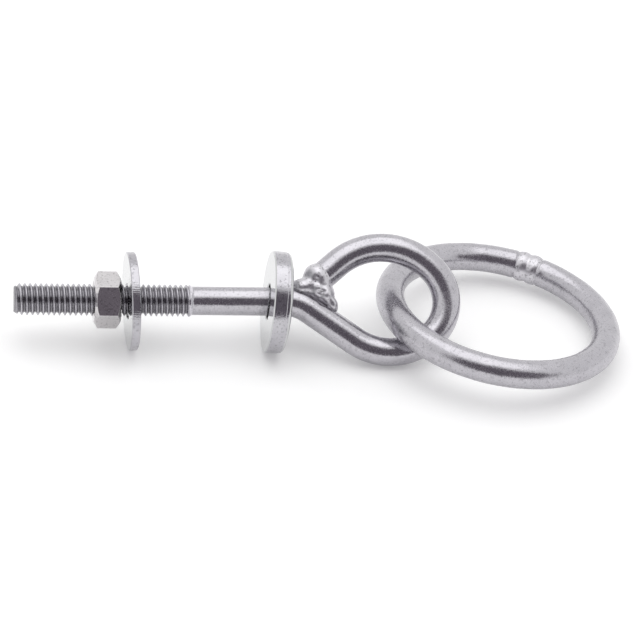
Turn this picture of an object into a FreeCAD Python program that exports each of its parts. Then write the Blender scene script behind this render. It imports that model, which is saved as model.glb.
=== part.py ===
import FreeCAD, Part
import math
import os
import Sketcher

# Ring bolt: a threaded rod bent into a welded eye, a closed ring linked through the eye,
# a thick collar against the neck, and a flat washer with a nut on the thread.
# Millimetres. The bolt's axis is X and the ring is on the +X side. The origin is on that axis,
# at the collar's bearing face. The bolt lies on a level surface, below it along -Z.

document = FreeCAD.newDocument("RingBolt")
sheet = document.addObject("Spreadsheet::Sheet", "Sizes")

# Driving dimensions
DIMENSIONS = [
    ("rod_diameter", 5.35, "rod of the shank and the eye"),
    ("thread_diameter", 6.0, "crests of the rolled thread"),
    ("bolt_reach", 47.35, "bearing face to the free end"),
    ("thread_length", 33.15, "free end to the thread's run-out"),
    ("runout_length", 0.45, "slope from the last crest down to the rod"),
    ("tip_length", 1.1, "length of the tip's chamfer"),
    ("tip_diameter", 4.7, "end face of the tip"),
    ("neck_bend", 8.0, "radius of the bend from the shank into the lower leg"),
    ("lower_slope", 34.4, "lower leg's angle to the axis"),
    ("upper_slope", 40.6, "upper leg's angle to the axis"),
    ("head_radius", 8.66, "centre line of the eye's round head"),
    ("head_place", 25.41, "bearing face to the head's centre, along the axis"),
    ("head_rise", 0.33, "head's centre above the axis, in the eye's plane"),
    ("head_lead", 6.37, "head's centre to where its arc gives way to the shoulders"),
    ("lower_shoulder", 11.84, "radius from the head into the lower leg"),
    ("upper_shoulder", 13.36, "radius from the head into the upper leg"),
    ("cut_height", 3.35, "upper leg's cut end above the axis, in the eye's plane"),
    ("bead1_along", 6.904, "first weld bead, over the heel of the cut end: bearing face to its middle"),
    ("bead1_up", 3.865, "its middle above the axis, in the eye's plane"),
    ("bead1_size", 2.3, "its radius"),
    ("bead2_along", 7.858, "second weld bead, on the cut end"),
    ("bead2_up", 2.643, "its middle above the axis"),
    ("bead2_size", 2.325, "its radius"),
    ("bead3_along", 8.812, "third weld bead, down the cut end"),
    ("bead3_up", 1.422, "its middle above the axis"),
    ("bead3_size", 2.35, "its radius"),
    ("bead4_along", 9.766, "fourth weld bead, in the fork"),
    ("bead4_up", 0.2, "its middle above the axis"),
    ("bead4_size", 2.375, "its radius"),
    ("bead5_along", 10.721, "last weld bead, on the lower leg"),
    ("bead5_up", -1.021, "its middle above the axis"),
    ("bead5_size", 2.4, "its radius"),
    ("weld_proud", 0.15, "weld above the sides of the rod"),
    ("collar_thickness", 3.5, "thick washer at the neck"),
    ("collar_diameter", 19.1, "thick washer's outside"),
    ("collar_play", 0.75, "collar's bore round the shank, on each side"),
    ("collar_edge", 0.7, "round of the collar's edge on the eye's side"),
    ("collar_break", 0.2, "broken edges of the collar's bearing side and bore"),
    ("washer_thickness", 1.6, "flat washer"),
    ("washer_diameter", 18.35, "flat washer's outside"),
    ("washer_play", 0.42, "flat washer's bore round the thread, on each side"),
    ("washer_edge", 0.15, "flat washer's broken edges"),
    ("washer_place", 26.3, "bearing face to the flat washer's far face"),
    ("nut_gap", 1.27, "nut to flat washer"),
    ("nut_width", 9.25, "across the nut's flats"),
    ("nut_height", 5.0, "nut along the thread"),
    ("nut_play", 0.05, "nut's bore round the crests, on each side"),
    ("nut_chamfer", 28.0, "slope of the nut's corner chamfers"),
    ("nut_mouth", 0.45, "chamfer of the nut's threaded mouth"),
    ("nut_turn", 59.0, "one corner of the nut, up from the level direction away from the ring's side"),
    ("ring_radius", 21.0, "centre line of the ring"),
    ("ring_rod", 5.44, "rod of the ring"),
    ("link_gap", 0.14, "least space between the ring and the eye"),
    ("link_lead", -1.35, "head's centre to where the ring passes the eye's plane, along the axis"),
    ("link_aside", -1.808, "the same place above the head's centre, in the eye's plane"),
    ("ring_yaw", 7.988, "ring's fold line turned towards the lower leg"),
    ("ring_drift", 12.51, "ring's centre turned off its fold line"),
    ("ring_weld_turn", 56.0, "ring's butt weld, round from the side farthest from the link"),
    ("ripple_pitch", 1.75, "one weld ripple to the next"),
    ("ripple_proud", 0.22, "weld ripples above the ring's rod"),
    ("collar_rise", 0.3, "collar's centre above the bolt's axis, because the bolt lies in its bore"),
    ("collar_aside", 0.45, "collar's centre towards the lower leg's side"),
    ("collar_lean_down", 3.3, "collar's axis dipping towards the eye, in degrees"),
    ("collar_lean_aside", 2.5, "collar's axis turned towards the lower leg's side, in degrees"),
    ("washer_drop", 0.18, "flat washer's centre below the bolt's axis"),
    ("washer_aside", 0.15, "flat washer's centre towards the lower leg's side"),
    ("washer_lean_up", 1.4, "flat washer's axis rising towards the eye, in degrees"),
    ("washer_lean_aside", 1.8, "flat washer's axis turned away from the lower leg's side, in degrees"),
]
BEAD_COUNT = 5
RIPPLE_COUNT = 3


def fill_sheet():
    """Writes each driving dimension beside its meaning, under its own alias."""
    for row, (alias, value, meaning) in enumerate(DIMENSIONS, start=1):
        sheet.set("A%d" % row, meaning)
        sheet.set("B%d" % row, str(value))
        sheet.setAlias("B%d" % row, alias)
    document.recompute()


def size(alias):
    """A driving dimension as a number."""
    return float(getattr(sheet, alias))


def spelled_out(expression):
    """An expression with its aliases in angle brackets turned into cells of the sheet."""
    for alias, _, _ in DIMENSIONS:
        expression = expression.replace("<%s>" % alias, "Sizes.%s" % alias)
    return expression


def bind(thing, name, expression):
    """Ties a property or a named constraint to the sheet."""
    thing.setExpression(name, spelled_out(expression))


def evaluate(expression):
    """The present value of an expression."""
    return float(sheet.evalExpression(spelled_out(expression)))


def new_body(label):
    body = document.addObject("PartDesign::Body", label)
    body.Label = label
    return body


def new_sketch(body, name, role):
    """A sketch on one of the body's own origin planes."""
    sketch = body.newObject("Sketcher::SketchObject", name)
    plane = [feature for feature in body.Origin.OriginFeatures if feature.Role == role][0]
    sketch.AttachmentSupport = [(plane, "")]
    sketch.MapMode = "FlatFace"
    return sketch


def constrain(sketch, name, expression, *arguments):
    """Adds a named dimension to a sketch and ties it to the sheet."""
    index = sketch.addConstraint(Sketcher.Constraint(*arguments))
    sketch.renameConstraint(index, name)
    bind(sketch, "Constraints.%s" % name, expression)


def polar(centre, radius, degrees):
    angle = math.radians(degrees)
    return centre + FreeCAD.Vector(math.cos(angle), math.sin(angle), 0) * radius


def arc(centre, radius, start, end):
    """A flat arc, anticlockwise from one angle to the other, in degrees."""
    circle = Part.Circle(centre, FreeCAD.Vector(0, 0, 1), radius)
    return Part.ArcOfCircle(circle, math.radians(start), math.radians(end))


def draw_outline(sketch, points):
    """A closed outline of (along, out) points, each an expression."""
    first = sketch.GeometryCount
    places = [FreeCAD.Vector(evaluate(along), evaluate(out), 0) for along, out in points]
    count = len(points)
    for index in range(count):
        sketch.addGeometry(Part.LineSegment(places[index], places[(index + 1) % count]), False)
    for index in range(count):
        line = first + index
        following = first + (index + 1) % count
        sketch.addConstraint(Sketcher.Constraint("Coincident", line, 2, following, 1))
        pin(sketch, "along_%d" % line, points[index][0], "DistanceX", line, places[index].x, -2)
        pin(sketch, "out_%d" % line, points[index][1], "DistanceY", line, places[index].y, -1)


def pin(sketch, name, expression, kind, line, value, axis):
    """Sets one coordinate of a line's start; a coordinate of nought puts the start on an axis."""
    if abs(value) < 1e-9:
        sketch.addConstraint(Sketcher.Constraint("PointOnObject", line, 1, axis))
    else:
        constrain(sketch, name, expression, kind, -1, 1, line, 1, value)


def revolve_outline(body, name, points):
    """A closed outline turned about the body's X axis."""
    sketch = new_sketch(body, name + "Outline", "XY_Plane")
    draw_outline(sketch, points)
    feature = body.newObject("PartDesign::Revolution", name)
    feature.Profile = sketch
    feature.ReferenceAxis = (sketch, ["H_Axis"])
    feature.Angle = 360.0
    document.recompute()


# Centre line of the bent rod, in the eye's plane
def rod_arcs():
    """Angles and centres of the head's arc and the two shoulders."""
    head = FreeCAD.Vector(size("head_place"), size("head_rise"), 0)
    turn = math.degrees(math.acos(size("head_lead") / size("head_radius")))
    upper = polar(head, size("head_radius") - size("upper_shoulder"), turn)
    lower = polar(head, size("head_radius") - size("lower_shoulder"), -turn)
    return head, turn, upper, lower


def rod_ends():
    """Upper leg's two ends, and the lower leg's upper end and neck end, with the bend's centre."""
    head, turn, upper, lower = rod_arcs()
    upper_top = polar(upper, size("upper_shoulder"), 90 + size("upper_slope"))
    lower_top = polar(lower, size("lower_shoulder"), -90 - size("lower_slope"))
    down = math.tan(math.radians(size("upper_slope")))
    cut_place = upper_top.x - (upper_top.y - size("cut_height")) / down
    upper_end = FreeCAD.Vector(cut_place, size("cut_height"), 0)
    corner = lower_top.x + lower_top.y / math.tan(math.radians(size("lower_slope")))
    reach = size("neck_bend") * math.tan(math.radians(size("lower_slope") / 2))
    bend = FreeCAD.Vector(corner - reach, -size("neck_bend"), 0)
    return upper_top, upper_end, lower_top, bend


def rod_geometry():
    """The centre line's pieces in order, from inside the thread round to the cut end."""
    head, turn, upper, lower = rod_arcs()
    upper_top, upper_end, lower_top, bend = rod_ends()
    start = FreeCAD.Vector(size("thread_length") - size("bolt_reach") - size("rod_diameter"), 0, 0)
    shank_end = FreeCAD.Vector(bend.x, 0, 0)
    leg_start = polar(bend, size("neck_bend"), 90 - size("lower_slope"))
    return [
        Part.LineSegment(start, shank_end),
        arc(bend, size("neck_bend"), 90 - size("lower_slope"), 90),
        Part.LineSegment(leg_start, lower_top),
        arc(lower, size("lower_shoulder"), -90 - size("lower_slope"), -turn),
        arc(head, size("head_radius"), -turn, turn),
        arc(upper, size("upper_shoulder"), turn, 90 + size("upper_slope")),
        Part.LineSegment(upper_top, upper_end),
    ]


def draw_centre_line(body):
    sketch = new_sketch(body, "RodCentreLine", "XY_Plane")
    pieces = rod_geometry()
    for piece in pieces:
        sketch.addGeometry(piece, False)
    shank, neck, lower_leg, lower, head, upper, upper_leg = range(len(pieces))
    start, end, centre, origin = 1, 2, 3, -1
    joins = [(shank, end, neck, end), (neck, start, lower_leg, start), (lower_leg, end, lower, start),
             (lower, end, head, start), (head, end, upper, start), (upper, end, upper_leg, start)]
    for join in joins:
        sketch.addConstraint(Sketcher.Constraint("Tangent", *join))
    sketch.addConstraint(Sketcher.Constraint("PointOnObject", shank, start, origin))
    sketch.addConstraint(Sketcher.Constraint("Horizontal", shank))
    constrain(sketch, "rod_start", "<bolt_reach> - <thread_length> + <rod_diameter>",
              "DistanceX", shank, start, origin, start,
              size("bolt_reach") - size("thread_length") + size("rod_diameter"))
    constrain(sketch, "neck_bend", "<neck_bend>", "Radius", neck, size("neck_bend"))
    constrain(sketch, "lower_shoulder", "<lower_shoulder>", "Radius", lower, size("lower_shoulder"))
    constrain(sketch, "head_radius", "<head_radius>", "Radius", head, size("head_radius"))
    constrain(sketch, "upper_shoulder", "<upper_shoulder>", "Radius", upper, size("upper_shoulder"))
    constrain(sketch, "head_place", "<head_place>",
              "DistanceX", origin, start, head, centre, size("head_place"))
    constrain(sketch, "head_rise", "<head_rise>",
              "DistanceY", origin, start, head, centre, size("head_rise"))
    constrain(sketch, "lower_lead", "<head_lead>",
              "DistanceX", head, centre, head, start, size("head_lead"))
    constrain(sketch, "upper_lead", "<head_lead>",
              "DistanceX", head, centre, head, end, size("head_lead"))
    constrain(sketch, "lower_slope", "-<lower_slope> * 1 deg",
              "Angle", lower_leg, -math.radians(size("lower_slope")))
    constrain(sketch, "upper_slope", "(<upper_slope> - 180) * 1 deg",
              "Angle", upper_leg, math.radians(size("upper_slope") - 180))
    constrain(sketch, "cut_height", "<cut_height>",
              "DistanceY", origin, start, upper_leg, end, size("cut_height"))
    return sketch


def sweep_rod(body):
    """The round rod along its centre line."""
    path = draw_centre_line(body)
    section = new_sketch(body, "RodSection", "YZ_Plane")
    bind(section, "AttachmentOffset.Base.z", "<thread_length> - <bolt_reach> - <rod_diameter>")
    circle = Part.Circle(FreeCAD.Vector(), FreeCAD.Vector(0, 0, 1), size("rod_diameter") / 2)
    section.addGeometry(circle, False)
    section.addConstraint(Sketcher.Constraint("Coincident", 0, 3, -1, 1))
    constrain(section, "rod_radius", "<rod_diameter> / 2", "Radius", 0, size("rod_diameter") / 2)
    document.recompute()
    pipe = body.newObject("PartDesign::AdditivePipe", "Rod")
    pipe.Profile = section
    pipe.Spine = path
    document.recompute()


def add_weld(body):
    """Beads across the rod, from the heel of the cut end down the fork to the lower leg."""
    for number in range(1, BEAD_COUNT + 1):
        bead = body.newObject("PartDesign::AdditiveEllipsoid", "WeldBead%d" % number)
        bind(bead, "Radius1", "<rod_diameter> / 2 + <weld_proud>")
        bind(bead, "Radius2", "<bead%d_size>" % number)
        bind(bead, "Radius3", "<bead%d_size>" % number)
        bind(bead, "Placement.Base.x", "<bead%d_along>" % number)
        bind(bead, "Placement.Base.y", "<bead%d_up>" % number)
        document.recompute()


def make_eye_bolt():
    body = new_body("eye_bolt")
    revolve_outline(body, "Thread", [
        ("-<bolt_reach>", "0"),
        ("-<bolt_reach>", "<tip_diameter> / 2"),
        ("-<bolt_reach> + <tip_length>", "<thread_diameter> / 2"),
        ("<thread_length> - <bolt_reach> - <runout_length>", "<thread_diameter> / 2"),
        ("<thread_length> - <bolt_reach>", "<rod_diameter> / 2"),
        ("<thread_length> - <bolt_reach>", "0"),
    ])
    sweep_rod(body)
    add_weld(body)
    body.Placement = FreeCAD.Placement(FreeCAD.Vector(), eye_roll())
    return body


def collar_lean():
    """The collar leans on its edge, because its bore is wider than the shank."""
    return FreeCAD.Rotation(-size("collar_lean_aside"), size("collar_lean_down"), 0)


def collar_place():
    """The collar's bearing face passes through the origin."""
    centre = FreeCAD.Vector(0, -size("collar_aside"), size("collar_rise"))
    lean = collar_lean()
    return FreeCAD.Placement(lean.multVec(centre), lean)


def surface_drop():
    """How far below the bolt's axis the leaning collar's lowest edge is."""
    axis = collar_lean().multVec(FreeCAD.Vector(1, 0, 0))
    dip = -axis.z
    level = math.sqrt(1 - dip ** 2)
    inner_length = size("collar_thickness") - size("collar_edge")
    inner_radius = size("collar_diameter") / 2 - size("collar_edge")
    edge_drop = inner_length * dip + inner_radius * level + size("collar_edge")
    return edge_drop - collar_place().Base.z


def eye_roll():
    """The eye leans over until its lower leg lies on the surface that the collar stands on."""
    _, _, _, lower = rod_arcs()
    lowest = size("lower_shoulder") - lower.y
    sine = (surface_drop() - size("rod_diameter") / 2) / lowest
    return FreeCAD.Rotation(FreeCAD.Vector(1, 0, 0), math.degrees(math.asin(sine)))


def round_edges(body, name, radius, along):
    """Rounds the outer edge of a washer's face at the given place along the axis."""
    tip = body.Tip
    edges = []
    widest = max(vertex.Point.y for vertex in tip.Shape.Vertexes)
    for index, edge in enumerate(tip.Shape.Edges, start=1):
        if not isinstance(edge.Curve, Part.Circle):
            continue
        if abs(edge.Curve.Center.x - along) < 1e-6 and abs(edge.Curve.Radius - widest) < 1e-6:
            edges.append("Edge%d" % index)
    fillet = body.newObject("PartDesign::Fillet", name)
    fillet.Base = (tip, edges)
    bind(fillet, "Radius", radius)
    document.recompute()


def make_collar():
    body = new_body("collar")
    bore = "(<rod_diameter> / 2 + <collar_play>)"
    revolve_outline(body, "Disc", [
        ("0", bore + " + <collar_break>"),
        ("0", "<collar_diameter> / 2 - <collar_break>"),
        ("<collar_break>", "<collar_diameter> / 2"),
        ("<collar_thickness>", "<collar_diameter> / 2"),
        ("<collar_thickness>", bore + " + <collar_break>"),
        ("<collar_thickness> - <collar_break>", bore),
        ("<collar_break>", bore),
    ])
    round_edges(body, "EyeSideRound", "<collar_edge>", size("collar_thickness"))
    body.Placement = collar_place()
    return body


def make_flat_washer():
    body = new_body("flat_washer")
    bore = "(<thread_diameter> / 2 + <washer_play>)"
    revolve_outline(body, "Disc", [
        ("0", bore),
        ("0", "<washer_diameter> / 2 - <washer_edge>"),
        ("<washer_edge>", "<washer_diameter> / 2"),
        ("<washer_thickness> - <washer_edge>", "<washer_diameter> / 2"),
        ("<washer_thickness>", "<washer_diameter> / 2 - <washer_edge>"),
        ("<washer_thickness>", bore),
    ])
    place = FreeCAD.Vector(-size("washer_place"), -size("washer_aside"), -size("washer_drop"))
    lean = FreeCAD.Rotation(size("washer_lean_aside"), -size("washer_lean_up"), 0)
    body.Placement = FreeCAD.Placement(place, lean)
    return body


def make_hex_nut():
    """The nut stands in the body's own frame with one face in the YZ plane."""
    body = new_body("hex_nut")
    flats = new_sketch(body, "Flats", "YZ_Plane")
    corner = size("nut_width") / 2 / math.cos(math.radians(30))
    points = [polar(FreeCAD.Vector(), corner, 60 * index) for index in range(6)]
    for index in range(6):
        flats.addGeometry(Part.LineSegment(points[index], points[(index + 1) % 6]), False)
    outer = flats.addGeometry(Part.Circle(FreeCAD.Vector(), FreeCAD.Vector(0, 0, 1), corner), True)
    for index in range(6):
        flats.addConstraint(Sketcher.Constraint("Coincident", index, 2, (index + 1) % 6, 1))
        flats.addConstraint(Sketcher.Constraint("PointOnObject", index, 1, outer))
    for index in range(5):
        flats.addConstraint(Sketcher.Constraint("Equal", index, index + 1))
    flats.addConstraint(Sketcher.Constraint("Coincident", outer, 3, -1, 1))
    flats.addConstraint(Sketcher.Constraint("PointOnObject", 0, 1, -1))
    constrain(flats, "corners", "<nut_width> / 2 / cos(30 deg)", "Radius", outer, corner)
    bore = flats.addGeometry(Part.Circle(FreeCAD.Vector(), FreeCAD.Vector(0, 0, 1), bore_radius()), False)
    flats.addConstraint(Sketcher.Constraint("Coincident", bore, 3, -1, 1))
    constrain(flats, "bore", "<thread_diameter> / 2 + <nut_play>", "Radius", bore, bore_radius())
    pad = body.newObject("PartDesign::Pad", "Prism")
    pad.Profile = flats
    bind(pad, "Length", "<nut_height>")
    document.recompute()
    chamfer_corners(body)
    chamfer_mouths(body)
    place = -size("washer_place") - size("nut_gap") - size("nut_height")
    turn = FreeCAD.Rotation(FreeCAD.Vector(1, 0, 0), size("nut_turn"))
    body.Placement = FreeCAD.Placement(FreeCAD.Vector(place, 0, 0), turn)
    return body


def bore_radius():
    return size("thread_diameter") / 2 + size("nut_play")


def chamfer_corners(body):
    """Turns the corners off both ends of the prism, down to the circle that fits the flats."""
    sketch = new_sketch(body, "CornerOutline", "XY_Plane")
    flat = "<nut_width> / 2"
    beyond = "(<nut_width> / 2 / cos(30 deg) + <nut_mouth>)"
    drop = "(%s - %s) * tan(<nut_chamfer> * 1 deg)" % (beyond, flat)
    draw_outline(sketch, [("0", flat), (drop, beyond), ("0", beyond)])
    draw_outline(sketch, [
        ("<nut_height>", flat),
        ("<nut_height>", beyond),
        ("<nut_height> - " + drop, beyond),
    ])
    before = body.Shape.Volume
    groove = body.newObject("PartDesign::Groove", "CornerChamfers")
    groove.Profile = sketch
    groove.ReferenceAxis = (sketch, ["H_Axis"])
    groove.Angle = 360.0
    document.recompute()
    if body.Shape.Volume >= before:
        raise RuntimeError("the corner chamfers cut nothing")


def chamfer_mouths(body):
    tip = body.Tip
    edges = []
    for index, edge in enumerate(tip.Shape.Edges, start=1):
        if isinstance(edge.Curve, Part.Circle) and abs(edge.Curve.Radius - bore_radius()) < 1e-6:
            edges.append("Edge%d" % index)
    chamfer = body.newObject("PartDesign::Chamfer", "Mouths")
    chamfer.Base = (tip, edges)
    bind(chamfer, "Size", "<nut_mouth>")
    document.recompute()


# The ring, and how it lies in the eye
def ring_placement(tilt):
    """The ring folded about a line in the eye's plane, with its rod passing that plane in the link."""
    head = FreeCAD.Vector(size("head_place"), size("head_rise"), 0)
    link = head + FreeCAD.Vector(size("link_lead"), size("link_aside"), 0)
    fold = FreeCAD.Rotation(FreeCAD.Vector(0, 0, 1), -size("ring_yaw"))
    fold = fold.multiply(FreeCAD.Rotation(FreeCAD.Vector(1, 0, 0), -tilt))
    fold = fold.multiply(FreeCAD.Rotation(FreeCAD.Vector(0, 0, 1), size("ring_drift")))
    centre = link + fold.multVec(FreeCAD.Vector(size("ring_radius"), 0, 0))
    return FreeCAD.Placement(centre, fold)


def link_clearance(tilt, rod):
    """Bare distance between the ring's centre line and the rod's, at a fold of so many degrees."""
    circle = Part.Edge(Part.Circle(FreeCAD.Vector(), FreeCAD.Vector(0, 0, 1), size("ring_radius")))
    circle.Placement = ring_placement(tilt)
    return circle.distToShape(rod)[0]


def ring_tilt():
    """The smallest fold at which the ring stands clear of the eye by the link's gap."""
    rod = Part.Wire([piece.toShape() for piece in rod_geometry()[2:]])
    wanted = (size("rod_diameter") + size("ring_rod")) / 2 + size("link_gap")
    flat, upright = 5.0, 80.0
    while upright - flat > 1e-4:
        middle = (flat + upright) / 2
        if link_clearance(middle, rod) < wanted:
            flat = middle
        else:
            upright = middle
    return upright


def make_ring():
    """A round rod closed to a ring, with its butt weld's ripples; its axis is the body's Z."""
    body = new_body("ring")
    rod = body.newObject("PartDesign::AdditiveTorus", "Rod")
    bind(rod, "Radius1", "<ring_radius>")
    bind(rod, "Radius2", "<ring_rod> / 2")
    document.recompute()
    for index in range(RIPPLE_COUNT):
        ripple = body.newObject("PartDesign::AdditiveEllipsoid", "Ripple%d" % (index + 1))
        bind(ripple, "Radius1", "<ring_rod> / 2 + <ripple_proud>")
        bind(ripple, "Radius2", "<ring_rod> / 2 + <ripple_proud>")
        bind(ripple, "Radius3", "<ripple_pitch>")
        step = math.degrees(size("ripple_pitch") / size("ring_radius")) * (index - (RIPPLE_COUNT - 1) / 2)
        angle = size("ring_weld_turn") + step
        turn = FreeCAD.Rotation(FreeCAD.Vector(0, 0, 1), angle)
        ripple.Placement = FreeCAD.Placement(polar(FreeCAD.Vector(), size("ring_radius"), angle), turn)
        document.recompute()
    lean = FreeCAD.Placement(FreeCAD.Vector(), eye_roll())
    body.Placement = lean.multiply(ring_placement(ring_tilt()))
    return body


def check_document(bodies):
    for thing in document.Objects:
        if "Invalid" in thing.State or "Error" in thing.State:
            raise RuntimeError("%s failed: %s" % (thing.Name, thing.State))
    for body in bodies:
        if body.Shape.isNull() or not body.Shape.isValid() or len(body.Shape.Solids) != 1:
            raise RuntimeError("%s is not one valid solid" % body.Label)


def export(bodies):
    os.makedirs("parts", exist_ok=True)
    for body in bodies:
        body.Shape.exportStep("parts/%s.step" % body.Label)


fill_sheet()
bodies = [make_eye_bolt(), make_collar(), make_flat_washer(), make_hex_nut(), make_ring()]
document.recompute()
check_document(bodies)
export(bodies)
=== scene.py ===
import math
import bmesh
import bpy
import numpy as np
from mathutils import Matrix, Vector, noise


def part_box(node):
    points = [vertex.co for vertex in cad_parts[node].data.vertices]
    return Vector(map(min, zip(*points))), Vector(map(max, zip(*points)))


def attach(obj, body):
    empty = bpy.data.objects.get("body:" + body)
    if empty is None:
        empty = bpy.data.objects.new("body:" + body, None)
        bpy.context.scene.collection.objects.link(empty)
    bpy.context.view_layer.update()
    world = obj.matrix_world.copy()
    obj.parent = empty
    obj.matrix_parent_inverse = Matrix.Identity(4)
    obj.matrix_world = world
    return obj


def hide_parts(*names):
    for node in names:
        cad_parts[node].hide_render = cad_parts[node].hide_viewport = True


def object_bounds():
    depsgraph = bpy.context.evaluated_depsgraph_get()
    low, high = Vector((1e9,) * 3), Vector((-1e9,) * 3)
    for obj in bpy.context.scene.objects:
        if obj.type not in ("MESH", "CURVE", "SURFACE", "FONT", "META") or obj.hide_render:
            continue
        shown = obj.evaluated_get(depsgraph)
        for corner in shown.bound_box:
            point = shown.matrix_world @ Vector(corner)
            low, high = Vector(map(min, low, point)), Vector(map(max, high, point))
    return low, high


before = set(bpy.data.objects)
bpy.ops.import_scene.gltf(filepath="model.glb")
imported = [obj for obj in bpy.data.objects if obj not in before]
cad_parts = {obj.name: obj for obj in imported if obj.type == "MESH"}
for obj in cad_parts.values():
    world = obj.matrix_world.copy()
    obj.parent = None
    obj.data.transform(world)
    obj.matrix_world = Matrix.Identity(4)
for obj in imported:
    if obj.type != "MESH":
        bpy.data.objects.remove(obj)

# Ring bolt lying on a pale floor. Metres, in the frame of the solids: the bolt's axis is X,
# the ring is on the +X side, and Z is up. The eye's own plane is called the local XY plane here.
CAD_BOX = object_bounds()
MM = 0.001

# Bent rod
ROD_RADIUS = 2.675 * MM
NECK_BEND = 8.0 * MM
LOWER_SLOPE = math.radians(34.4)
UPPER_SLOPE = math.radians(40.6)
HEAD_RADIUS = 8.66 * MM
HEAD_CENTRE = (25.41 * MM, 0.33 * MM)
HEAD_LEAD = 6.37 * MM
LOWER_SHOULDER = 11.84 * MM
UPPER_SHOULDER = 13.36 * MM
CUT_HEIGHT = 3.35 * MM
ROD_STEP = 0.3 * MM
ROD_SIDES = 72

# Rolled thread
PITCH = 1.0 * MM
CREST_RADIUS = 3.0 * MM
THREAD_DEPTH = 0.58 * MM
THREAD_LENGTH = 33.15 * MM
RUNOUT_SLOPE = 0.45 * MM
RUNOUT_FADE = 0.55 * MM
TIP_RADIUS = 2.35 * MM
TIP_LENGTH = 1.1 * MM
# Rings of the flat tip, as shares of its radius
TIP_RINGS = (1.0, 0.75, 0.5, 0.25, 0.02)
TIP_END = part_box("eye_bolt")[0][0]
THREAD_END = TIP_END + THREAD_LENGTH
# One turn's profile: share of the pitch, and share of the depth below the crest
THREAD_PROFILE = [(0.0, 0.0), (0.07, 0.03), (0.11, 0.12), (0.24, 0.5), (0.37, 0.88), (0.43, 0.98),
                  (0.5, 1.0), (0.57, 0.98), (0.63, 0.88), (0.76, 0.5), (0.89, 0.12), (0.93, 0.03)]


def node_points(name):
    """The corners of a solid's mesh, which lie in the shared frame."""
    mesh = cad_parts[name].data
    flat = np.empty(len(mesh.vertices) * 3)
    mesh.vertices.foreach_get("co", flat)
    return flat.reshape(-1, 3)


def node_box(name):
    low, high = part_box(name)
    return np.array(low), np.array(high)


# Mesh helpers
def finish_mesh(name, bm, smooth_angle=35.0):
    """An object from a bmesh, welded, with outward normals and soft shading up to an angle."""
    bmesh.ops.remove_doubles(bm, verts=bm.verts, dist=1e-7)
    bmesh.ops.dissolve_degenerate(bm, edges=bm.edges, dist=1e-7)
    bmesh.ops.recalc_face_normals(bm, faces=bm.faces)
    mesh = bpy.data.meshes.new(name)
    bm.to_mesh(mesh)
    bm.free()
    mesh.polygons.foreach_set("use_smooth", [True] * len(mesh.polygons))
    mesh.set_sharp_from_angle(angle=math.radians(smooth_angle))
    thing = bpy.data.objects.new(name, mesh)
    bpy.context.scene.collection.objects.link(thing)
    return thing


def add_grid(bm, grid, close_rows=False, cap_start=False, cap_end=False):
    """Quads over a grid of rings; each ring closes on itself."""
    rows, columns, _ = grid.shape
    verts = [[bm.verts.new(point) for point in ring] for ring in grid]
    last = rows if close_rows else rows - 1
    for row in range(last):
        ring, following = verts[row], verts[(row + 1) % rows]
        for column in range(columns):
            beside = (column + 1) % columns
            bm.faces.new((ring[column], ring[beside], following[beside], following[column]))
    if cap_start:
        bm.faces.new(verts[0][::-1])
    if cap_end:
        bm.faces.new(verts[-1])


# Centre line of the bent rod, in the eye's plane
def arc_points(centre, radius, start, end):
    """Points and travel directions along an arc, from one angle to the other."""
    count = max(2, int(abs(end - start) * radius / ROD_STEP))
    way = 1.0 if end > start else -1.0
    points = []
    for index in range(count + 1):
        angle = start + (end - start) * index / count
        points.append((centre[0] + radius * math.cos(angle), centre[1] + radius * math.sin(angle),
                       -way * math.sin(angle), way * math.cos(angle)))
    return points


def line_points(start, end):
    length = math.dist(start, end)
    count = max(2, int(length / ROD_STEP))
    way = ((end[0] - start[0]) / length, (end[1] - start[1]) / length)
    return [(start[0] + way[0] * length * index / count, start[1] + way[1] * length * index / count, *way)
            for index in range(count + 1)]


def rod_line():
    """The rod from the thread's run-out, along the neck and round the eye, to its cut end."""
    turn = math.acos(HEAD_LEAD / HEAD_RADIUS)
    aside = (math.cos(turn), math.sin(turn))
    upper = (HEAD_CENTRE[0] - (UPPER_SHOULDER - HEAD_RADIUS) * aside[0],
             HEAD_CENTRE[1] - (UPPER_SHOULDER - HEAD_RADIUS) * aside[1])
    lower = (HEAD_CENTRE[0] - (LOWER_SHOULDER - HEAD_RADIUS) * aside[0],
             HEAD_CENTRE[1] + (LOWER_SHOULDER - HEAD_RADIUS) * aside[1])
    upper_top = (upper[0] - UPPER_SHOULDER * math.sin(UPPER_SLOPE),
                 upper[1] + UPPER_SHOULDER * math.cos(UPPER_SLOPE))
    lower_top = (lower[0] - LOWER_SHOULDER * math.sin(LOWER_SLOPE),
                 lower[1] - LOWER_SHOULDER * math.cos(LOWER_SLOPE))
    upper_end = (upper_top[0] - (upper_top[1] - CUT_HEIGHT) / math.tan(UPPER_SLOPE), CUT_HEIGHT)
    corner = lower_top[0] + lower_top[1] / math.tan(LOWER_SLOPE)
    bend = (corner - NECK_BEND * math.tan(LOWER_SLOPE / 2), -NECK_BEND)
    quarter = math.pi / 2
    leg_start = (bend[0] + NECK_BEND * math.sin(LOWER_SLOPE), bend[1] + NECK_BEND * math.cos(LOWER_SLOPE))
    line = line_points((THREAD_END, 0.0), (bend[0], 0.0))
    line += arc_points(bend, NECK_BEND, quarter, quarter - LOWER_SLOPE)[1:]
    line += line_points(leg_start, lower_top)[1:]
    line += arc_points(lower, LOWER_SHOULDER, -quarter - LOWER_SLOPE, -turn)[1:]
    line += arc_points(HEAD_CENTRE, HEAD_RADIUS, -turn, turn)[1:]
    line += arc_points(upper, UPPER_SHOULDER, turn, quarter + UPPER_SLOPE)[1:]
    line += line_points(upper_top, upper_end)[1:]
    return line


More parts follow.
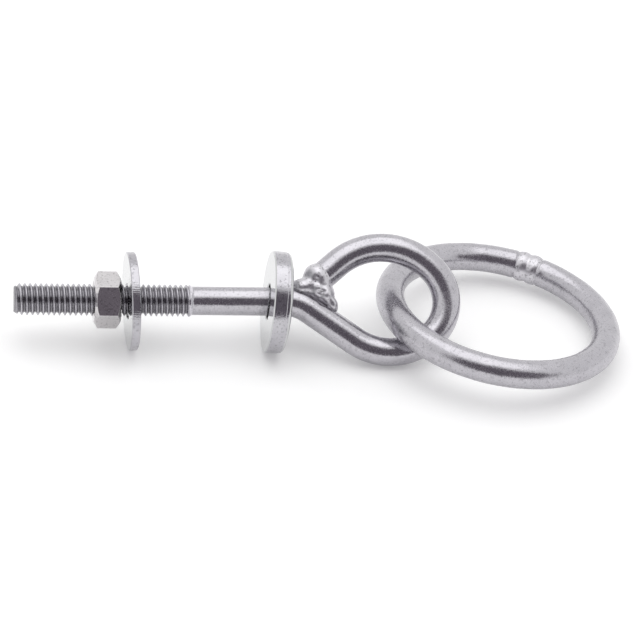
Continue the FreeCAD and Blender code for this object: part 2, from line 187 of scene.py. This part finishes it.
def rod_grid(line, radius):
    """Rings of the round rod along a flat line; the first column is on the line's left side."""
    angles = np.arange(ROD_SIDES) * 2 * math.pi / ROD_SIDES
    grid = np.zeros((len(line), ROD_SIDES, 3))
    for row, (x, y, along, across) in enumerate(line):
        grid[row, :, 0] = x - across * radius * np.cos(angles)
        grid[row, :, 1] = y + along * radius * np.cos(angles)
        grid[row, :, 2] = radius * np.sin(angles)
    return grid


# Thread
def thread_radius(x, depth):
    """Radius of the thread's surface at a place along the bolt, for a share of the depth."""
    fade = min(1.0, max(0.0, (THREAD_END - RUNOUT_SLOPE - x) / RUNOUT_FADE))
    radius = CREST_RADIUS - THREAD_DEPTH * depth * fade * fade * (3 - 2 * fade)
    climb = min(1.0, max(0.0, (THREAD_END - x) / RUNOUT_SLOPE))
    shoulder = ROD_RADIUS + (CREST_RADIUS - ROD_RADIUS) * climb
    tip = TIP_RADIUS + (CREST_RADIUS - TIP_RADIUS) * min(1.0, max(0.0, (x - TIP_END) / TIP_LENGTH))
    return min(radius, shoulder, tip)


def thread_grid():
    """Rows follow the helix, so that crests and roots lie along the mesh's own edges."""
    turns = int(THREAD_LENGTH / PITCH) + 2
    rows = []
    for turn in range(-1, turns):
        for share, depth in THREAD_PROFILE:
            ring = []
            for column in range(ROD_SIDES + 1):
                angle = column * 2 * math.pi / ROD_SIDES
                x = TIP_END + (turn + share + column / ROD_SIDES) * PITCH
                x = min(THREAD_END, max(TIP_END, x))
                radius = thread_radius(x, depth)
                ring.append((x, radius * math.cos(angle), radius * math.sin(angle)))
            rows.append(ring)
    return rows


def add_thread(bm):
    """Closes the helical rows into one skin: a row's last column meets the row one turn on."""
    rows = thread_grid()
    verts = [[bm.verts.new(point) for point in ring] for ring in rows]
    for row in range(len(rows) - 1):
        for column in range(ROD_SIDES):
            bm.faces.new((verts[row][column], verts[row][column + 1],
                          verts[row + 1][column + 1], verts[row + 1][column]))


def add_tip_face(bm):
    """The flat end of the tip, in a few rings."""
    angles = np.arange(ROD_SIDES) * 2 * math.pi / ROD_SIDES
    grid = np.zeros((len(TIP_RINGS), ROD_SIDES, 3))
    for row, share in enumerate(TIP_RINGS):
        grid[row, :, 0] = TIP_END
        grid[row, :, 1] = TIP_RADIUS * share * np.cos(angles)
        grid[row, :, 2] = TIP_RADIUS * share * np.sin(angles)
    add_grid(bm, grid, cap_end=True)


def eye_roll():
    """How far the eye's plane is turned about the bolt's axis, from the solid's own mesh."""
    points = node_points("eye_bolt")
    head = points[points[:, 0] > HEAD_CENTRE[0]][:, 1:]
    spread = np.linalg.svd(head - head.mean(axis=0), full_matrices=False)[2][0]
    angle = math.atan2(spread[1], spread[0])
    return angle if abs(angle) < math.pi / 2 else angle - math.copysign(math.pi, angle)


def to_row_frame(thing):
    """Turns a mesh that was built in the eye's plane into its place."""
    thing.data.transform(Matrix.Rotation(eye_roll(), 4, "X"))


def build_bolt():
    bm = bmesh.new()
    add_thread(bm)
    add_tip_face(bm)
    grid = rod_grid(rod_line(), ROD_RADIUS)
    add_grid(bm, grid, cap_end=True)
    bolt = finish_mesh("eye_bolt_rod", bm, 40.0)
    to_row_frame(bolt)
    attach(bolt, "bolt")
    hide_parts("eye_bolt")
    return bolt


# Weld, in the eye's plane: middle, half sizes and turn of each lump, in millimetres and degrees
WELD_LUMPS = [
    ("neck", (6.3, 2.6, 0.0), (1.9, 1.8, 2.6), 10),
    ("heel", (7.7, 2.9, 0.0), (2.4, 2.0, 2.8), 22),
    ("leg end", (9.68, 4.46, 0.0), (2.9, 2.95, 3.15), 40.6),
    ("top", (8.55, 5.6, 0.0), (1.4, 1.45, 2.5), -25),
    ("fork", (10.75, 1.6, 0.0), (1.95, 2.6, 2.95), 15),
    ("middle", (9.3, 2.1, 0.0), (2.3, 2.0, 2.9), -40),
    ("foot", (12.0, -0.45, 0.0), (1.25, 1.95, 2.6), 22),
]
# Middle, reach and height of each bump on the weld's face, and of each pit below it, in millimetres
WELD_RELIEF = [
    ((8.8, 5.7, 2.0), 0.8, 0.25),
    ((9.25, 2.45, 3.0), 0.55, 0.3),
    ((10.9, 0.45, 2.8), 0.7, 0.25),
    ((8.9, 3.7, 3.0), 0.42, -0.2),
    ((9.45, 1.45, 2.9), 0.24, -0.35),
    ((10.0, 1.4, 2.9), 0.16, -0.25),
    ((10.35, 1.5, 2.9), 0.3, -0.14),
    ((11.7, -0.55, 2.6), 0.4, -0.14),
]
WELD_VOXEL = 0.12
WELD_ROUGHNESS = 0.05
WELD_GRAIN = 1.1
WELD_SOFTENING = 70


def build_weld():
    """Lumps of the weld melted into one skin in millimetres, then given its relief and set in place."""
    bm = bmesh.new()
    for _, place, half, turn in WELD_LUMPS:
        matrix = Matrix.Translation(Vector(place)) @ Matrix.Rotation(math.radians(turn), 4, "Z")
        matrix = matrix @ Matrix.Diagonal(Vector((*half, 1.0)))
        bmesh.ops.create_icosphere(bm, subdivisions=4, radius=1.0, matrix=matrix)
    mesh = bpy.data.meshes.new("weld_lumps")
    bm.to_mesh(mesh)
    bm.free()
    weld = bpy.data.objects.new("eye_bolt_weld", mesh)
    bpy.context.scene.collection.objects.link(weld)
    remesh = weld.modifiers.new("Melt", "REMESH")
    remesh.mode = "VOXEL"
    remesh.voxel_size = WELD_VOXEL
    remesh.use_smooth_shade = True
    smooth = weld.modifiers.new("Soften", "SMOOTH")
    smooth.iterations = WELD_SOFTENING
    apply_modifiers(weld)
    moved = [roughened(vertex.co, vertex.normal) for vertex in weld.data.vertices]
    weld.data.vertices.foreach_set("co", [part for point in moved for part in point])
    weld.data.transform(Matrix.Scale(MM, 4))
    to_row_frame(weld)
    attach(weld, "bolt")
    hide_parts("eye_bolt")
    return weld


def roughened(point, normal):
    """A place on the weld moved out at the bumps, in at the pits, and a little by a coarse ripple."""
    height = WELD_ROUGHNESS * noise.noise(point / WELD_GRAIN)
    for middle, reach, most in WELD_RELIEF:
        apart = math.dist(point, middle) / reach
        height += most * math.exp(-apart * apart / 2)
    return point + normal * height


def apply_modifiers(thing):
    graph = bpy.context.evaluated_depsgraph_get()
    mesh = bpy.data.meshes.new_from_object(thing.evaluated_get(graph))
    thing.modifiers.clear()
    thing.data = mesh


# Ring
RING_ROD = 2.72 * MM
RIPPLE_PITCH = 2.15 * MM
RIPPLE_PROUD = 0.2 * MM
RIPPLE_CREASES = (-1.05, 0.05, 1.1)
RING_STEPS = 640
RING_SIDES = 72
RING_UNEVEN = 0.03 * MM
RING_GRAIN = 2.5 * MM
# The beads' form: reaches are shares of RIPPLE_PITCH, and heights are shares of RIPPLE_PROUD
BEAD_REACH, BEAD_HEIGHT, BEAD_LUMPS = 0.45, 1.7, 0.35
CREASE_REACH, CREASE_DEPTH = 0.12, 0.7
FOOT_REACH, FOOT_HEIGHT, FOOT_START = 0.5, 0.25, 0.3


def ring_place():
    """Centre, radius and axes of the ring's centre line, fitted to the solid's mesh."""
    points = node_points("ring")
    middle = points.mean(axis=0)
    normal = np.linalg.svd(points - middle, full_matrices=False)[2][2]
    normal = normal if normal[2] > 0 else -normal
    first = np.cross([0.0, 1.0, 0.0], normal)
    first /= np.linalg.norm(first)
    second = np.cross(normal, first)
    flat = np.stack([(points - middle) @ first, (points - middle) @ second], axis=1)
    centre = (flat.max(axis=0) + flat.min(axis=0)) / 2
    radius = (flat.max(axis=0) - flat.min(axis=0)).mean() / 2 - RING_ROD
    return middle + centre[0] * first + centre[1] * second, radius, first, second, normal


def ring_weld_angle(centre, radius, first, second, normal):
    """Where the solid's weld ripples stand proud of the ring's rod."""
    points = node_points("ring") - centre
    along, aside = points @ first, points @ second
    out = np.hypot(along, aside) - radius
    proud = np.hypot(out, points @ normal) > RING_ROD + RIPPLE_PROUD / 2
    return math.atan2(aside[proud].mean(), along[proud].mean())


def ripple_height(place):
    """Two fat beads with sharp creases beside and between them; 1 is one bead's width."""
    nearest = min(abs(place - crease) for crease in RIPPLE_CREASES)
    if RIPPLE_CREASES[0] < place < RIPPLE_CREASES[-1]:
        return min(1.0, math.sqrt(nearest / BEAD_REACH)) * BEAD_HEIGHT - CREASE_DEPTH
    crease = -CREASE_DEPTH * math.exp(-(nearest / CREASE_REACH) ** 2)
    return crease + FOOT_HEIGHT * math.exp(-(nearest / FOOT_REACH) ** 2) * (nearest / FOOT_START)


def build_ring():
    centre, radius, first, second, normal = ring_place()
    weld = ring_weld_angle(centre, radius, first, second, normal)
    grid = np.zeros((RING_STEPS, RING_SIDES, 3))
    angles = np.arange(RING_SIDES) * 2 * math.pi / RING_SIDES
    for row in range(RING_STEPS):
        turn = row * 2 * math.pi / RING_STEPS
        from_weld = math.remainder(turn - weld, 2 * math.pi) * radius / RIPPLE_PITCH
        proud = ripple_height(from_weld)
        out = math.cos(turn) * first + math.sin(turn) * second
        for column, angle in enumerate(angles):
            way = math.cos(angle) * out + math.sin(angle) * normal
            uneven = noise.noise(Vector((centre + radius * out + RING_ROD * way) / RING_GRAIN))
            lump = 1.0 + BEAD_LUMPS * uneven
            rod = RING_ROD - RING_UNEVEN + RING_UNEVEN * uneven + RIPPLE_PROUD * proud * lump
            grid[row, column] = centre + radius * out + min(rod, RING_ROD + RIPPLE_PROUD) * way
    bm = bmesh.new()
    add_grid(bm, grid, close_rows=True)
    ring = finish_mesh("ring_rod", bm)
    bead_end = RIPPLE_CREASES[-1] * RIPPLE_PITCH / radius
    for face in ring.data.polygons:
        from_centre = np.array(face.center) - centre
        turn = math.atan2(from_centre @ second, from_centre @ first)
        face.material_index = int(abs(math.remainder(turn - weld, 2 * math.pi)) < bead_end)
    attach(ring, "ring")
    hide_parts("ring")
    return ring


# Washers and nut, each built with its axis along X and then set where its solid is
def disc_place(name):
    """Middle of a disc's solid and the turn from X to its axis."""
    points = node_points(name)
    middle = points.mean(axis=0)
    axis = np.linalg.svd(points - middle, full_matrices=False)[2][2]
    axis = axis if axis[0] > 0 else -axis
    across = np.cross(axis, [0.0, 1.0, 0.0])
    across /= np.linalg.norm(across)
    ways = [axis, across, np.cross(axis, across)]
    reach = [(points - middle) @ way for way in ways]
    middle = middle + sum(way * (far.max() + far.min()) / 2 for way, far in zip(ways, reach))
    thickness = reach[0].max() - reach[0].min()
    out = np.linalg.norm((points - middle) - np.outer((points - middle) @ axis, axis), axis=1)
    turn = Vector((1.0, 0.0, 0.0)).rotation_difference(Vector(axis)).to_matrix().to_4x4()
    return Matrix.Translation(Vector(middle)) @ turn, thickness, out.max()


def turned_grid(outline, columns, waves=0, depth=0.0):
    """Rings of a closed outline turned about X; rows marked with a share above 0 take the ribs."""
    angles = np.arange(columns) * 2 * math.pi / columns
    ribs = depth * (0.5 - 0.5 * np.cos(angles * waves))
    grid = np.zeros((len(outline), columns, 3))
    for row, (x, out, share) in enumerate(outline):
        grid[row, :, 0] = x
        grid[row, :, 1] = (out - ribs * share) * np.cos(angles)
        grid[row, :, 2] = (out - ribs * share) * np.sin(angles)
    return grid


def add_disc(name, node, grid, place, rim):
    """A disc from its rings; faces farther out than the rim's radius take the second material."""
    bm = bmesh.new()
    add_grid(bm, grid, close_rows=True)
    disc = finish_mesh(name, bm, 30.0)
    for face in disc.data.polygons:
        face.material_index = int(math.hypot(face.center[1], face.center[2]) > rim)
    disc.data.transform(place)
    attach(disc, node)
    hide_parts(node)
    return disc


RIB_COUNT = 170
RIB_COLUMNS = 4
RIB_DEPTH = 0.018 * MM
WASHER_BORE = 3.42 * MM
WASHER_EDGE = 0.15 * MM


def build_washer():
    """A thin washer with a finely ribbed rim, as left by the punch."""
    place, thickness, radius = disc_place("flat_washer")
    half = thickness / 2
    outline = [(-half, WASHER_BORE + WASHER_EDGE, 0), (-half, radius - WASHER_EDGE, 0),
               (WASHER_EDGE - half, radius, 0.3), (WASHER_EDGE * 2 - half, radius, 1),
               (half - WASHER_EDGE * 2, radius, 1), (half - WASHER_EDGE, radius, 0.3),
               (half, radius - WASHER_EDGE, 0), (half, WASHER_BORE, 0),
               (WASHER_EDGE - half, WASHER_BORE, 0)]
    grid = turned_grid(outline, RIB_COUNT * RIB_COLUMNS, RIB_COUNT, RIB_DEPTH)
    rim = radius - WASHER_EDGE * 0.7
    return add_disc("flat_washer_disc", "flat_washer", grid, place, rim)


COLLAR_BORE = 3.425 * MM
COLLAR_BREAK = 0.22 * MM
COLLAR_ROUND = 0.7 * MM
COLLAR_STEP = 0.07 * MM
# Rows of the collar's rim and the place of its step, as shares of its straight length
COLLAR_ROWS, STEP_ROW = (0.3, 0.55, 0.86), 0.9
ROUND_STEPS = 6
COLLAR_COLUMNS = 240


def build_collar():
    """A thick turned washer: a broken edge on the bearing side and a stepped round on the eye's side."""
    place, thickness, radius = disc_place("collar")
    half = thickness / 2
    outline = [(-half, COLLAR_BORE + COLLAR_BREAK, 0), (-half, radius - COLLAR_BREAK, 0),
               (COLLAR_BREAK - half, radius, 0)]
    for share in COLLAR_ROWS:
        outline.append((-half + (thickness - COLLAR_ROUND) * share, radius, 0))
    outline.append((-half + (thickness - COLLAR_ROUND) * STEP_ROW, radius - COLLAR_STEP, 0))
    for step in range(ROUND_STEPS + 1):
        angle = math.radians(90.0 * step / ROUND_STEPS)
        outline.append((half - COLLAR_ROUND * (1 - math.sin(angle)),
                        radius - COLLAR_STEP - COLLAR_ROUND * (1 - math.cos(angle)), 0))
    outline += [(half, COLLAR_BORE + COLLAR_BREAK, 0), (half - COLLAR_BREAK, COLLAR_BORE, 0),
                (COLLAR_BREAK - half, COLLAR_BORE, 0)]
    grid, rim = turned_grid(outline, COLLAR_COLUMNS), radius - COLLAR_BREAK * 0.4
    return add_disc("collar_disc", "collar", grid, place, rim)


NUT_BORE = 3.05 * MM
NUT_MOUTH = 0.45 * MM
NUT_CHAMFER = math.radians(33.0)
NUT_FACE_SHARE = 0.895
NUT_COLUMNS = 180
NUT_WEAR = 0.07 * MM
NUT_EDGE = 18.0


def nut_turn():
    """Angle of one corner of the nut, from the solid's own mesh."""
    points = node_points("hex_nut")[:, 1:]
    reach = np.hypot(points[:, 0], points[:, 1])
    corner = points[reach.argmax()]
    return math.atan2(corner[1], corner[0])


def build_nut():
    """A hexagon with coned ends, a bored middle and worn edges."""
    low, high = node_box("hex_nut")
    points = node_points("hex_nut")
    flat = np.hypot(points[:, 1], points[:, 2]).max() * math.cos(math.radians(30.0))
    height = high[0] - low[0]
    first = nut_turn()
    face = flat * NUT_FACE_SHARE
    grid = np.zeros((8, NUT_COLUMNS, 3))
    for column in range(NUT_COLUMNS):
        angle = column * 2 * math.pi / NUT_COLUMNS
        from_flat = (angle % math.radians(60.0)) - math.radians(30.0)
        hexagon = flat / math.cos(from_flat)
        drop = (hexagon - face) * math.tan(NUT_CHAMFER)
        profile = [(0.0, face), (drop, hexagon), (height - drop, hexagon), (height, face),
                   (height, NUT_BORE + NUT_MOUTH), (height - NUT_MOUTH, NUT_BORE), (NUT_MOUTH, NUT_BORE),
                   (0.0, NUT_BORE + NUT_MOUTH)]
        for row, (x, out) in enumerate(profile):
            grid[row, column] = (low[0] + x, out * math.cos(angle + first), out * math.sin(angle + first))
    bm = bmesh.new()
    add_grid(bm, grid, close_rows=True)
    nut = finish_mesh("hex_nut_body", bm, NUT_EDGE)
    worn = nut.modifiers.new("Worn edges", "BEVEL")
    worn.width = NUT_WEAR
    worn.segments = 2
    worn.limit_method = "ANGLE"
    worn.angle_limit = math.radians(NUT_EDGE)
    worn.harden_normals = True
    apply_modifiers(nut)
    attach(nut, "hex_nut")
    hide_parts("hex_nut")
    return nut


# Materials
def new_material(name):
    material = bpy.data.materials.new(name)
    material.use_nodes = True
    return material, material.node_tree.nodes, material.node_tree.links


def scaled(nodes, links, value, low, high, to_low, to_high):
    """A value mapped from one range to another, held at its ends."""
    ramp = nodes.new("ShaderNodeMapRange")
    ramp.inputs["From Min"].default_value = low
    ramp.inputs["From Max"].default_value = high
    ramp.inputs["To Min"].default_value = to_low
    ramp.inputs["To Max"].default_value = to_high
    links.new(value, ramp.inputs["Value"])
    return ramp.outputs["Result"]


def combined(nodes, links, operation, first, second):
    """Two values, each a socket or a number, through one step of arithmetic."""
    step = nodes.new("ShaderNodeMath")
    step.operation = operation
    for socket, value in zip(step.inputs, (first, second)):
        if isinstance(value, float):
            socket.default_value = value
        else:
            links.new(value, socket)
    return step.outputs["Value"]


def toned(nodes, links, colour, factor):
    """A colour made lighter or darker by a factor."""
    step = nodes.new("ShaderNodeVectorMath")
    step.operation = "SCALE"
    links.new(colour, step.inputs[0])
    links.new(factor, step.inputs["Scale"])
    return step.outputs["Vector"]


def speckle(nodes, links, place, scale, detail):
    """Noise that is fixed to the piece."""
    cloud = nodes.new("ShaderNodeTexNoise")
    cloud.inputs["Scale"].default_value = scale
    cloud.inputs["Detail"].default_value = detail
    links.new(place, cloud.inputs["Vector"])
    return cloud.outputs["Fac"]


BLOTCH_SCALE = 350.0
SPECK_SCALE = 2200.0
SPECK_START, SPECK_FULL = 0.58, 0.68
GRAIN_START, GRAIN_FULL = 0.3, 0.7
GRAIN_HEIGHT = 0.02 * MM


def steel(name, light, dark, rough_low, rough_high, grain, bump, specks):
    """Stainless steel with blotches, dark specks, fine grain and a little relief."""
    material, nodes, links = new_material(name)
    shader = nodes["Principled BSDF"]
    shader.inputs["Metallic"].default_value = 1.0
    place = nodes.new("ShaderNodeTexCoord").outputs["Object"]
    colour = nodes.new("ShaderNodeMix")
    colour.data_type = "RGBA"
    colour.inputs["A"].default_value = (*dark, 1.0)
    colour.inputs["B"].default_value = (*light, 1.0)
    links.new(speckle(nodes, links, place, BLOTCH_SCALE, 4.0), colour.inputs["Factor"])
    pitted = speckle(nodes, links, place, SPECK_SCALE, 1.0)
    kept = scaled(nodes, links, pitted, SPECK_START, SPECK_FULL, 1.0, 1.0 - specks)
    links.new(toned(nodes, links, colour.outputs["Result"], kept), shader.inputs["Base Color"])
    fine = speckle(nodes, links, place, grain, 3.0)
    rough = scaled(nodes, links, fine, GRAIN_START, GRAIN_FULL, rough_low, rough_high)
    links.new(rough, shader.inputs["Roughness"])
    relief = nodes.new("ShaderNodeBump")
    relief.inputs["Strength"].default_value = bump
    relief.inputs["Distance"].default_value = GRAIN_HEIGHT
    links.new(fine, relief.inputs["Height"])
    links.new(relief.outputs["Normal"], shader.inputs["Normal"])
    return material


# Painted shade: the colour factor at the bottom of the thread's roots, rising to 1 near the crests
ROOT_SHADE = 0.55
ROOT_TOP = 0.12
# Painted highlight: how much lighter the colour gets in the ring where the thread runs out
RUNOUT_HIGHLIGHT_GAIN = 1.5
# Where the plain rod, and the painted highlight ring's rise and fade, start before the thread's end
PLAIN_START = 2 * RUNOUT_SLOPE
HIGHLIGHT_START = 1.4 * RUNOUT_SLOPE
HIGHLIGHT_FADE = 0.2 * RUNOUT_SLOPE


def shade_thread(material):
    """Painted shade in the thread's roots, and a painted highlight ring where the rolled thread runs out.
    """
    nodes, links = material.node_tree.nodes, material.node_tree.links
    shader = nodes["Principled BSDF"]
    colour = shader.inputs["Base Color"].links[0].from_socket
    place = nodes.new("ShaderNodeTexCoord")
    parts = nodes.new("ShaderNodeSeparateXYZ")
    links.new(place.outputs["Object"], parts.inputs["Vector"])
    along = parts.outputs["X"]
    squares = [combined(nodes, links, "POWER", parts.outputs[axis], 2.0) for axis in ("Y", "Z")]
    out = combined(nodes, links, "SQRT", combined(nodes, links, "ADD", *squares), 0.0)
    bottom, top = CREST_RADIUS - THREAD_DEPTH, CREST_RADIUS - ROOT_TOP * THREAD_DEPTH
    # Painted shade: the colour darkens from near the crests down into the thread's roots
    root = scaled(nodes, links, out, bottom, top, ROOT_SHADE, 1.0)
    plain = scaled(nodes, links, along, THREAD_END - PLAIN_START, THREAD_END - RUNOUT_SLOPE, 0.0, 1.0)
    kept = combined(nodes, links, "MAXIMUM", root, plain)
    # Painted highlight: the colour lightens in a band just before the thread's end
    before = scaled(nodes, links, along, THREAD_END - HIGHLIGHT_START, THREAD_END - RUNOUT_SLOPE, 0.0, 1.0)
    after = scaled(nodes, links, along, THREAD_END - HIGHLIGHT_FADE, THREAD_END, 1.0, 0.0)
    ring = combined(nodes, links, "MULTIPLY", before, after)
    highlight_gain = scaled(nodes, links, ring, 0.0, 1.0, 1.0, RUNOUT_HIGHLIGHT_GAIN)
    factor = combined(nodes, links, "MULTIPLY", kept, highlight_gain)
    links.new(toned(nodes, links, colour, factor), shader.inputs["Base Color"])


def paint(thing, *materials):
    """Gives a piece its materials and keeps each face's choice among them."""
    choice = [face.material_index for face in thing.data.polygons]
    thing.data.materials.clear()
    for material in materials:
        thing.data.materials.append(material)
    thing.data.polygons.foreach_set("material_index", choice)


# Floor, light and camera
FLOOR_SIZE = 4.0
FLOOR_COLOUR = (0.9, 0.9, 0.9, 1.0)
FLOOR_ROUGHNESS = 0.8
FLOOR_GLOW = 0.2


def seen_directly(nodes, links):
    """1 for what the camera, a mirror or a pane shows, so that all three show the same white floor."""
    path = nodes.new("ShaderNodeLightPath").outputs
    first = combined(nodes, links, "MAXIMUM", path["Is Camera Ray"], path["Is Glossy Ray"])
    return combined(nodes, links, "MAXIMUM", first, path["Is Transmission Ray"])


def build_floor():
    bm = bmesh.new()
    bmesh.ops.create_grid(bm, x_segments=1, y_segments=1, size=FLOOR_SIZE)
    mesh = bpy.data.meshes.new("floor")
    bm.to_mesh(mesh)
    bm.free()
    floor = bpy.data.objects.new("floor", mesh)
    floor.location = (0.0, 0.0, CAD_BOX[0][2])
    bpy.context.scene.collection.objects.link(floor)
    material, nodes, links = new_material("pale_floor")
    shader = nodes["Principled BSDF"]
    shader.inputs["Base Color"].default_value = FLOOR_COLOUR
    shader.inputs["Roughness"].default_value = FLOOR_ROUGHNESS
    shader.inputs["Specular IOR Level"].default_value = 0.0
    shader.inputs["Emission Color"].default_value = (1.0, 1.0, 1.0, 1.0)
    glow = combined(nodes, links, "MULTIPLY", seen_directly(nodes, links), FLOOR_GLOW)
    links.new(glow, shader.inputs["Emission Strength"])
    paint(floor, material)


ROOM_COLOUR = (0.165, 0.148, 0.172)
ROOM_RISE = math.radians(30.0)
ROOM_DIRECTION = (0.0, -math.cos(ROOM_RISE), math.sin(ROOM_RISE))
ROOM_OUTER, ROOM_INNER = math.radians(34.0), math.radians(26.0)
# Below 1, the room is wider along X than it is high
ROOM_SQUEEZE = 0.55


def build_world():
    """White all round, with a dim room on the front side; every ray sees the same."""
    world = bpy.data.worlds.new("studio")
    bpy.context.scene.world = world
    world.use_nodes = True
    nodes, links = world.node_tree.nodes, world.node_tree.links
    background = nodes["Background"]
    place = nodes.new("ShaderNodeTexCoord")
    stretch = nodes.new("ShaderNodeVectorMath")
    stretch.operation = "MULTIPLY"
    stretch.inputs[1].default_value = (ROOM_SQUEEZE, 1.0, 1.0)
    links.new(place.outputs["Generated"], stretch.inputs[0])
    length = nodes.new("ShaderNodeVectorMath")
    length.operation = "NORMALIZE"
    links.new(stretch.outputs["Vector"], length.inputs[0])
    towards = nodes.new("ShaderNodeVectorMath")
    towards.operation = "DOT_PRODUCT"
    towards.inputs[1].default_value = ROOM_DIRECTION
    links.new(length.outputs["Vector"], towards.inputs[0])
    shade = nodes.new("ShaderNodeMapRange")
    shade.interpolation_type = "SMOOTHSTEP"
    shade.inputs["From Min"].default_value = math.cos(ROOM_OUTER)
    shade.inputs["From Max"].default_value = math.cos(ROOM_INNER)
    shade.inputs["To Min"].default_value = 1.0
    shade.inputs["To Max"].default_value = 0.0
    links.new(towards.outputs["Value"], shade.inputs["Value"])
    tint = nodes.new("ShaderNodeMix")
    tint.data_type = "RGBA"
    tint.inputs["A"].default_value = (*ROOM_COLOUR, 1.0)
    tint.inputs["B"].default_value = (1.0, 1.0, 1.0, 1.0)
    links.new(shade.outputs["Result"], tint.inputs["Factor"])
    links.new(tint.outputs["Result"], background.inputs["Color"])
    background.inputs["Strength"].default_value = 1.0


LAMP_PLACE = (0.0, 0.15, 1.2)
LAMP_AIM = (0.02, 0.0, 0.0)
LAMP_SIZE = 1.2
LAMP_POWER = 3.4


def add_softbox():
    """One large soft lamp over the part."""
    lamp = bpy.data.lights.new("overhead", "AREA")
    lamp.shape = "SQUARE"
    lamp.size = LAMP_SIZE
    lamp.energy = LAMP_POWER
    thing = bpy.data.objects.new("overhead", lamp)
    thing.location = LAMP_PLACE
    thing.rotation_euler = (Vector(LAMP_AIM) - Vector(LAMP_PLACE)).to_track_quat("-Z", "Y").to_euler()
    bpy.context.scene.collection.objects.link(thing)


CAMERA_PLACE = Vector((-81.94, -488.07, 336.90)) * MM
CAMERA_RIGHT = Vector((0.98816, -0.12039, 0.09515))
CAMERA_UP = Vector((-0.00894, 0.57385, 0.81891))
LENS = 180.0
SENSOR_WIDTH = 36.0
FAR_CLIP = 20.0


def build_camera():
    """A long lens from the front and above, leaning by about seven degrees as the photograph does."""
    lens = bpy.data.cameras.new("camera")
    lens.lens = LENS
    lens.sensor_width = SENSOR_WIDTH
    lens.clip_end = FAR_CLIP
    camera = bpy.data.objects.new("camera", lens)
    back = CAMERA_RIGHT.cross(CAMERA_UP)
    turn = Matrix((CAMERA_RIGHT, CAMERA_UP, back)).transposed()
    camera.matrix_world = Matrix.Translation(CAMERA_PLACE) @ turn.to_4x4()
    bpy.context.scene.collection.objects.link(camera)
    bpy.context.scene.camera = camera


bpy.context.scene.view_settings.view_transform = "Standard"
# Steels: light and dark colour, lowest and highest roughness, grain, relief and depth of the specks
rod_steel = steel("rod_steel", (0.56, 0.545, 0.58), (0.42, 0.41, 0.44), 0.12, 0.30, 3600.0, 0.6, 0.2)
weld_steel = steel("weld_steel", (0.70, 0.685, 0.72), (0.54, 0.53, 0.56), 0.30, 0.42, 3000.0, 0.3, 0.4)
ring_steel = steel("ring_steel", (0.55, 0.535, 0.57), (0.42, 0.41, 0.44), 0.14, 0.34, 3600.0, 0.8, 0.22)
face_steel = steel("face_steel", (0.62, 0.625, 0.63), (0.55, 0.555, 0.56), 0.08, 0.18, 3000.0, 0.08, 0.0)
rim_steel = steel("rim_steel", (0.58, 0.57, 0.60), (0.38, 0.37, 0.40), 0.10, 0.26, 3800.0, 0.85, 0.28)
nut_steel = steel("nut_steel", (0.74, 0.72, 0.73), (0.58, 0.56, 0.57), 0.10, 0.2, 3000.0, 0.12, 0.25)
shade_thread(rod_steel)
paint(build_bolt(), rod_steel)
paint(build_weld(), weld_steel)
paint(build_ring(), ring_steel, weld_steel)
paint(build_washer(), face_steel, rim_steel)
paint(build_collar(), face_steel, rim_steel)
paint(build_nut(), nut_steel)
build_floor()
build_world()
add_softbox()
build_camera()
